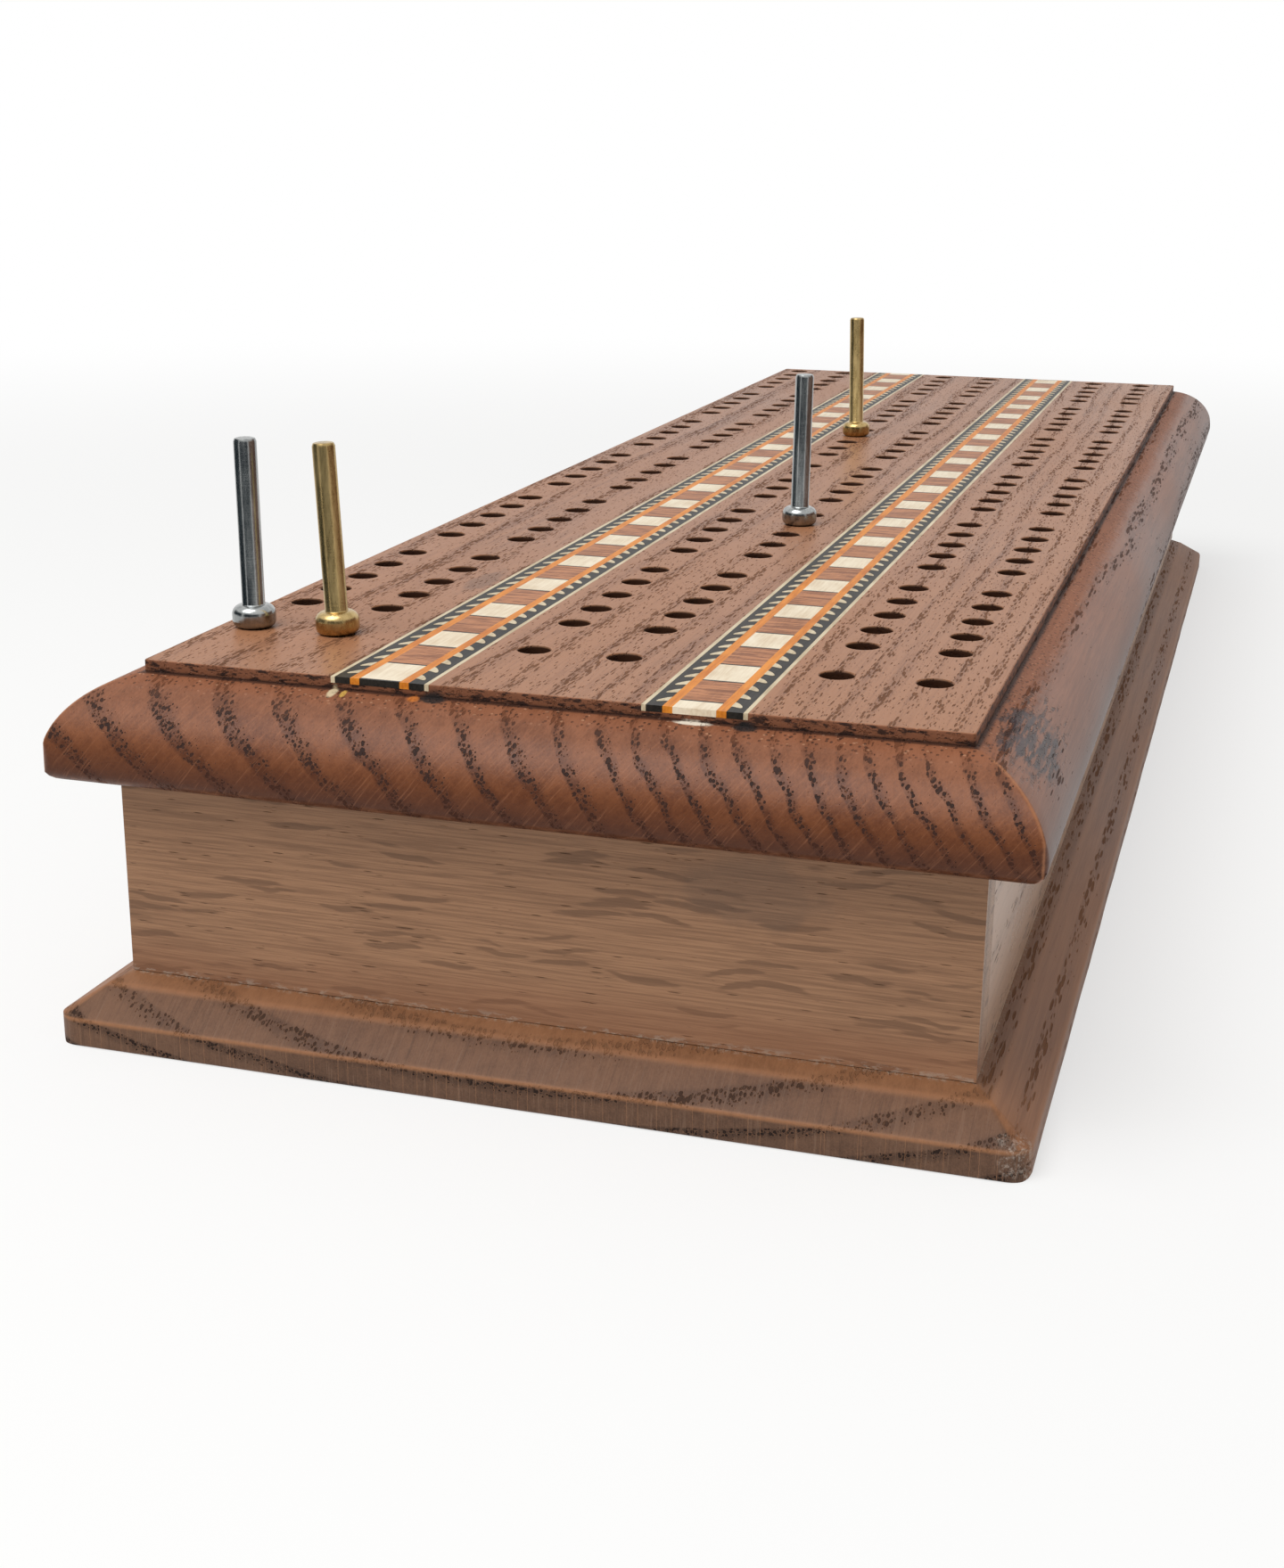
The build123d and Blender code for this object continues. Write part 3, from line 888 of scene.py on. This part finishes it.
def outline(half_width, half_length, radius, side_counts):
    """Points round a rounded rectangle, anticlockwise from the far end of its right side."""
    points = []
    corners = [(1, 1, 0), (-1, 1, 90), (-1, -1, 180), (1, -1, 270)]
    for index, (x_sign, y_sign, start) in enumerate(corners):
        centre = (x_sign * (half_width - radius), y_sign * (half_length - radius))
        points += arc(centre, radius, start, start + 90, CORNER_STEPS)
        after = corners[(index + 1) % 4]
        next_centre = (after[0] * (half_width - radius), after[1] * (half_length - radius))
        next_point = arc(next_centre, radius, after[2], after[2] + 90, CORNER_STEPS)[0]
        count = side_counts[index % 2]
        last = points[-1]
        for step in range(1, count):
            share = step / count
            points.append(tuple(a + (b - a) * share for a, b in zip(last, next_point)))
    return points


def board_rings(profile, half_width, half_length, corner, softness):
    """Rings of points up a moulded board. The profile is a list of (inset, height)."""
    counts = (round(2 * half_width / SIDE_STEP), round(2 * half_length / SIDE_STEP))
    rings = []
    for inset, height in profile:
        radius = max(corner - CORNER_SHRINK * inset, softness)
        ring = []
        for x, y in outline(half_width - inset, half_length - inset, radius, counts):
            wave = Vector((x / WOBBLE_LENGTH, y / WOBBLE_LENGTH, height / WOBBLE_RISE))
            push = abs(WOBBLE * noise.noise(wave))
            away = Vector((x / half_width, y / half_length)) * push
            ring.append((x - away.x, y - away.y, height))
        rings.append(ring)
    return rings


def stack(rings):
    """Closed shape through rings of as many points."""
    shape = bmesh.new()
    loops = [[shape.verts.new(point) for point in ring] for ring in rings]
    count = len(rings[0])
    for low, high in zip(loops, loops[1:]):
        for index in range(count):
            after = (index + 1) % count
            shape.faces.new((low[index], low[after], high[after], high[index]))
    shape.faces.new(list(reversed(loops[0])))
    shape.faces.new(loops[-1])
    return shape


def cut(mesh, tool_shape):
    """The mesh with a tool shape, in mm, taken away from it."""
    tool_mesh = to_mesh("tool", tool_shape)
    blank = bpy.data.objects.new("blank", mesh)
    tool = bpy.data.objects.new("tool", tool_mesh)
    for made in (blank, tool):
        bpy.context.scene.collection.objects.link(made)
    knife = blank.modifiers.new("knife", "BOOLEAN")
    knife.operation = "DIFFERENCE"
    knife.solver = "EXACT"
    knife.object = tool
    ready = bpy.context.evaluated_depsgraph_get()
    result = bpy.data.meshes.new_from_object(blank.evaluated_get(ready))
    for made in (blank, tool):
        bpy.data.objects.remove(made)
    return result


def keep_flat(mesh, height):
    """Marks the edges of the level faces at a height as sharp, so that they shade flat."""

    def is_level(face):
        """Whether a face is level and at the height."""
        return face.normal.z > 0.999 and abs(face.calc_center_median().z - height) < 1e-5

    shape = bmesh.new()
    shape.from_mesh(mesh)
    for edge in shape.edges:
        level = [is_level(face) for face in edge.link_faces]
        if any(level) and not all(level):
            edge.smooth = False
    shape.to_mesh(mesh)
    shape.free()


# ---- top board ----


def top_profile():
    """Half section of the top board: (inset, height) from the underside up to the field."""
    inner = 1 - OVOLO_REACH / OVOLO_RADIUS
    sine = sqrt(1 - inner**2)
    arc_end = 90 - degrees(asin(inner))
    shoulder = board_top - FIELD_STEP
    low = top_low.z
    land = low + TOP_ARRIS + LAND_RISE
    squash = (shoulder - land) / (OVOLO_RADIUS * sine)
    arris = arc((-TOP_ARRIS, low + TOP_ARRIS), TOP_ARRIS, -90, 0, 6)
    quarter = arc((-OVOLO_RADIUS, 0), OVOLO_RADIUS, 0, arc_end, 24)
    ovolo = [(x, land + z * squash) for x, z in quarter]
    edge_middle = (-OVOLO_REACH - FIELD_ROUND, board_top - FIELD_ROUND)
    top_edge = arc(edge_middle, FIELD_ROUND, 0, 90, 3)
    points = [(-UNDERSIDE_INSET, low)] + arris + ovolo
    points += [(-OVOLO_REACH, shoulder + 0.3)] + top_edge
    return [(-x, z) for x, z in points]


def hole_places():
    """Middles of all the peg holes: one start hole and the play holes of each row."""
    steel = middle_mm("peg_steel_start")
    brass = middle_mm("peg_brass_start")
    rows = [x + pair * PAIR_SPACING for pair in range(3) for x in (steel.x, brass.x)]
    lines = [steel.y]
    group_pitch = (GROUP_SIZE - 1) * HOLE_PITCH + GROUP_GAP
    for group in range(GROUP_COUNT):
        first = steel.y + GROUP_GAP + group * group_pitch
        lines += [first + hole * HOLE_PITCH for hole in range(GROUP_SIZE)]
    return [(x, y) for x in rows for y in lines]


def hole_tool(shape, x, y):
    """Drill for one hole, a little worn at its mouth and never quite the same."""
    wide = HOLE_RADIUS + random.uniform(-0.03, 0.03)
    worn = random.uniform(0.10, 0.17)
    profile = [
        (0, -HOLE_DEPTH),
        (wide, -HOLE_DEPTH + 0.6),
        (wide, -0.30),
        (wide + 0.25 * worn, -0.14),
        (wide + 0.6 * worn, -0.05),
        (wide + worn, 0.0),
        (wide + worn + 0.3, 0.08),
        (0, 0.5),
    ]
    lathe(shape, profile, (x, y, board_top), steps=28)


def add_block(shape, low, high):
    """A square block between two corners."""
    middle = [(a + b) / 2 for a, b in zip(low, high)]
    size = [b - a for a, b in zip(low, high)]
    place = Matrix.Translation(middle) @ Matrix.Diagonal((*size, 1.0))
    bmesh.ops.create_cube(shape, size=1.0, matrix=place)


def is_inside_field(point):
    """Whether a point lies within the raised field, its rounded edge left out."""
    past_x = abs(point.x) - field_half_width
    past_y = abs(point.y) - field_half_length
    return max(past_x, past_y) < -FIELD_MARGIN


def make_top_board():
    """Board with its mouldings, peg holes and the two grooves for the bands."""
    rings = board_rings(top_profile(), top_high.x, top_high.y, TOP_CORNER, MITRE_SOFTNESS)
    blank = to_mesh("top_board_blank", stack(rings))
    tools = bmesh.new()
    for x, y in hole_places():
        hole_tool(tools, x, y)
    for side in ("left", "right"):
        low, high = box_mm(f"band_{side}_cream_lines")
        add_block(tools, (low.x, low.y - 0.5, low.z), (high.x, high.y + 0.5, high.z + 1.0))
    mesh = cut(blank, tools)
    mesh.shade_smooth()
    mesh.set_sharp_from_angle(angle=radians(SHARP_ANGLE))
    keep_flat(mesh, board_top * MM)
    add_piece("playing_board", mesh, "oak_moulding", "box", ["top_board"])
    mesh.materials.append(materials["oak_field"])
    lowest = board_top - HOLE_DEPTH - 0.5
    for face in mesh.polygons:
        middle = face.center / MM
        if middle.z > lowest and is_inside_field(middle):
            face.material_index = 1


# ---- base board ----


def base_profile():
    """Half section of the base board, with the wear of its edges."""
    case_inset = base_high.x - end_high.x
    ledge_inset = case_inset - LEDGE_WIDTH
    edge_top = BASE_EDGE_HEIGHT
    ledge_height = base_high.z - LEDGE_FALL
    points = [(8.0, 0.0)]
    points += [(BASE_ARRIS - x, z) for x, z in arc((0, BASE_ARRIS), BASE_ARRIS, -90, 0, 4)]
    points += [(0.0, edge_top - 0.25), (0.06, edge_top), (0.25, edge_top + 0.18)]
    points += [(ledge_inset - 0.25, ledge_height - 0.20), (ledge_inset, ledge_height)]
    points += [(ledge_inset + 0.3, ledge_height + 0.12), (case_inset + 0.2, base_high.z)]
    points += [(case_inset + 3.0, base_high.z)]
    return points


def make_base_board():
    """Base board with its bevel and sloping ledge."""
    rings = board_rings(base_profile(), base_high.x, base_high.y, BASE_CORNER, BASE_MITRE_SOFTNESS)
    mesh = to_mesh("base_board_mesh", stack(rings))
    add_piece("base_moulded", mesh, "oak_base", "box", ["base_board"])


# ---- marquetry ----


def tick_shape(shape, root_x, y, side):
    """One cream tick of the rope, a leaf that slopes away from the band's middle."""
    size = random.uniform(0.92, 1.08)
    lean = random.uniform(-0.08, 0.08)
    leaf = [
        (0.0, 0.80),
        (0.30, 0.56),
        (0.62, 0.14),
        (0.88, -0.32),
        (1.0, -0.78),
        (0.86, -0.92),
        (0.55, -0.80),
        (0.22, -0.62),
        (0.0, -0.60),
    ]
    plan = [(root_x + side * TICK_REACH * u, y + (v + lean * u) * size) for u, v in leaf]
    if side < 0:
        plan.reverse()
    top = [shape.verts.new((*point, board_top + TICK_PROUD)) for point in plan]
    low = [shape.verts.new((*point, board_top - TICK_SUNK)) for point in plan]
    shape.faces.new(list(reversed(top)))
    shape.faces.new(low)
    for index in range(len(plan)):
        after = (index + 1) % len(plan)
        shape.faces.new((top[index], top[after], low[after], low[index]))


def make_ticks(side):
    """The ticks of both rope strips of one band."""
    shape = bmesh.new()
    orange_low, orange_high = box_mm(f"band_{side}_orange_lines")
    y = orange_low.y + FIRST_TICK * TICK_PITCH
    while y < orange_high.y - LAST_TICK:
        for root_x, sign in ((orange_low.x, -1), (orange_high.x, 1)):
            tick_shape(shape, root_x, y + random.uniform(-TICK_JITTER, TICK_JITTER), sign)
        y += TICK_PITCH
    bmesh.ops.recalc_face_normals(shape, faces=shape.faces)
    mesh = to_mesh(f"ticks_{side}", shape)
    add_piece(f"band_{side}_ticks", mesh, "cream", "box")


# ---- pegs and knob ----


def add_turned(name, node, profile, centre, axis, metal, body, sharp_angle=SHARP_ANGLE):
    """Adds the turned metal piece that stands for a CAD node."""
    shape = bmesh.new()
    lathe(shape, profile, centre, axis)
    bmesh.ops.recalc_face_normals(shape, faces=shape.faces)
    add_piece(name, to_mesh(node, shape, sharp_angle), metal, body, [node])


def peg_profile():
    """Radius and height of a peg from the end of its spigot to its tip."""
    spigot, rod = PEG_SPIGOT_RADIUS, PEG_ROD_RADIUS
    low_round, high_round = 0.75, 0.95
    low_middle = (PEG_BALL_RADIUS - low_round, low_round)
    high_middle = (PEG_BALL_RADIUS - high_round, PEG_BALL_HEIGHT - high_round)
    points = [(0, -PEG_SPIGOT), (spigot - 0.3, -PEG_SPIGOT), (spigot, -PEG_SPIGOT + 0.4)]
    points += [(spigot, -0.05)]
    points += arc(low_middle, low_round, -75, 0, 6)
    points += arc(high_middle, high_round, 0, 80, 8)
    points += [(rod + 0.05, PEG_BALL_HEIGHT - 0.02), (rod, PEG_BALL_HEIGHT + 0.06)]
    points += [(rod, PEG_HEIGHT - 0.35), (rod - 0.12, PEG_HEIGHT - 0.06)]
    points += [(rod - 0.30, PEG_HEIGHT), (0, PEG_HEIGHT - 0.05)]
    return points


def make_peg(node, metal):
    """One peg, leaning as it does in its hole."""
    foot = middle_mm(node)
    seat = (foot.x, foot.y, board_top)
    lean_x, lean_y = (radians(angle) for angle in PEG_LEANS[node])
    axis = (sin(lean_x), sin(lean_y), 1.0)
    add_turned(f"{node}_turned", node, peg_profile(), seat, axis, metal, node, PEG_SHARP_ANGLE)


def make_knob():
    """Turned knob and its plate, on the drawer front."""
    plate_low, plate_high = box_mm("knob_plate")
    middle = (plate_low + plate_high) / 2
    centre = (middle.x, plate_low.y, middle.z)
    knob_high = box_mm("drawer_knob")[1]
    face = knob_high.y - plate_low.y
    thick = plate_high.y - plate_low.y
    plate = [(0, 0.0), (5.0, 0.0), (5.0, 0.35), (4.7, 0.65), (4.2, thick)]
    plate += [(2.2, thick - 0.1), (0, thick - 0.1)]
    shank = [(0, -4.5), (1.3, -4.5), (1.3, 0.7)]
    neck = [(1.9, 0.85), (1.6, 1.2), (1.65, 1.7), (2.4, 2.0)]
    head = [(3.1, 2.3), (3.4, 2.9), (3.35, 3.4), (3.0, 4.0), (2.3, 4.7)]
    head += [(1.3, face - 0.08), (0, face)]
    outward = (0, 1, 0)
    add_turned("knob_plate_turned", "knob_plate", plate, centre, outward, "brass", "drawer")
    add_turned("knob_turned", "drawer_knob", shank + neck + head, centre, outward, "brass", "drawer")


# ---- CAD nodes that stay, with their materials ----

node_materials = {
    "side_left": "oak_side",
    "side_right": "oak_side",
    "end_board": "oak_case",
    "drawer_front": "oak_case",
    "drawer_side_left": "oak_drawer_along",
    "drawer_side_right": "oak_drawer_along",
    "drawer_back": "oak_drawer_across",
    "drawer_bottom": "oak_drawer_along",
    "drawer_divider_front": "oak_drawer_across",
    "drawer_divider_back": "oak_drawer_across",
}
band_materials = {
    "cream_lines": "cream",
    "rope_strips": "black",
    "orange_lines": "orange",
    "cream_blocks": "ivory",
    "brown_blocks": "brown",
    "black_lines": "black",
}
for band_side in ("left", "right"):
    for strip, wood in band_materials.items():
        node_materials[f"band_{band_side}_{strip}"] = wood


def dress_nodes():
    """Gives each CAD node that stays its material, and the boards a slight round on their edges."""
    for node, material in node_materials.items():
        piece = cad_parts[node]
        piece.data.materials.clear()
        piece.data.materials.append(materials[material])
        if material.startswith("oak"):
            edge = piece.modifiers.new("worn_edges", "BEVEL")
            edge.width = EDGE_ROUND * MM
            edge.segments = 2
            edge.limit_method = "ANGLE"


# ---- studio ----


WORLD_LEVEL = 0.46
WORLD_COLOUR = (1.0, 0.99, 0.97)
WHITE = (1.0, 1.0, 1.0)
FLOOR_COLOUR = (0.88, 0.88, 0.87)
FLOOR_GLOW = 0.62
FLOOR_SIZE = 60.0  # metres
FADE_START, FADE_END = 0.15, 0.60  # metres from the middle: past this the floor is plain white
FLAG_RADIUS = 1.1
FLAG_HEIGHT = 0.5
FLAG_STEPS = 16
FLAG_COOL = (0.030, 0.046, 0.056)
FLAG_WARM = (0.210, 0.120, 0.088)


def make_world():
    """Even pale light from all round, white where the camera and reflections see it."""
    world = bpy.data.worlds.new("studio")
    nodes = Nodes(world, "ShaderNodeOutputWorld")
    plain = nodes.light("ShaderNodeBackground", WORLD_COLOUR, WORLD_LEVEL)
    shown = nodes.light("ShaderNodeBackground", WHITE)
    nodes.show_mix(nodes.seen_directly(), plain, shown)
    bpy.context.scene.world = world


def make_floor():
    """Plain pale floor that keeps a faint shadow, and turns white some way off."""
    bpy.ops.mesh.primitive_plane_add(size=FLOOR_SIZE, location=(0, 0, 0))
    floor = bpy.context.object
    floor.name = "floor"
    nodes = Nodes(bpy.data.materials.new("floor"))
    matt = nodes.node("ShaderNodeBsdfDiffuse")
    nodes.put(matt.inputs["Color"], FLOOR_COLOUR)
    glow = nodes.light("ShaderNodeEmission", WHITE)
    place = Value(nodes, nodes.node("ShaderNodeTexCoord").outputs["Object"])
    distance = nodes.vector_math("LENGTH", place)
    fade = nodes.smooth(distance, FADE_START, FADE_END, FLOOR_GLOW, 1.0)
    nodes.show_mix(nodes.seen_directly() * fade, matt, glow)
    floor.data.materials.append(nodes.owner)


def make_flag(name, start, end, colour):
    """Dark curved screen that only reflections see, between two angles in degrees from +X."""
    shape = bmesh.new()
    columns = []
    for x, y in arc((0, 0), FLAG_RADIUS, start, end, FLAG_STEPS):
        columns.append([shape.verts.new((x, y, height)) for height in (0.0, FLAG_HEIGHT)])
    for left, right in zip(columns, columns[1:]):
        shape.faces.new((left[0], right[0], right[1], left[1]))
    mesh = bpy.data.meshes.new(name)
    shape.to_mesh(mesh)
    shape.free()
    nodes = Nodes(bpy.data.materials.new(name))
    nodes.show(nodes.light("ShaderNodeEmission", colour))
    mesh.materials.append(nodes.owner)
    flag = bpy.data.objects.new(name, mesh)
    bpy.context.scene.collection.objects.link(flag)
    flag.visible_camera = False
    flag.visible_diffuse = False
    flag.visible_transmission = False
    flag.visible_shadow = False


def add_lamp(name, place, target, size, power):
    """Soft square lamp that looks at a target. Places are in metres."""
    data = bpy.data.lights.new(name, "AREA")
    data.shape = "SQUARE"
    data.size = size
    data.energy = power
    lamp = bpy.data.objects.new(name, data)
    bpy.context.scene.collection.objects.link(lamp)
    lamp.location = place
    lamp.rotation_mode = "QUATERNION"
    lamp.rotation_quaternion = (Vector(target) - Vector(place)).to_track_quat("-Z", "Y")


# ---- build ----

make_camera()
make_world()
make_floor()
make_flag("flag_left", 170, 232, FLAG_COOL)
make_flag("flag_front", 240, 318, FLAG_COOL)
make_flag("flag_right", 326, 408, FLAG_WARM)
add_lamp("overhead", place=(-0.20, -0.45, 0.75), target=(0, -0.06, 0.03), size=0.6, power=5.6)
make_top_board()
make_base_board()
for band in ("left", "right"):
    make_ticks(band)
for peg_node in PEG_LEANS:
    make_peg(peg_node, "steel" if "steel" in peg_node else "brass")
make_knob()
dress_nodes()

bpy.context.scene.view_settings.view_transform = "Standard"
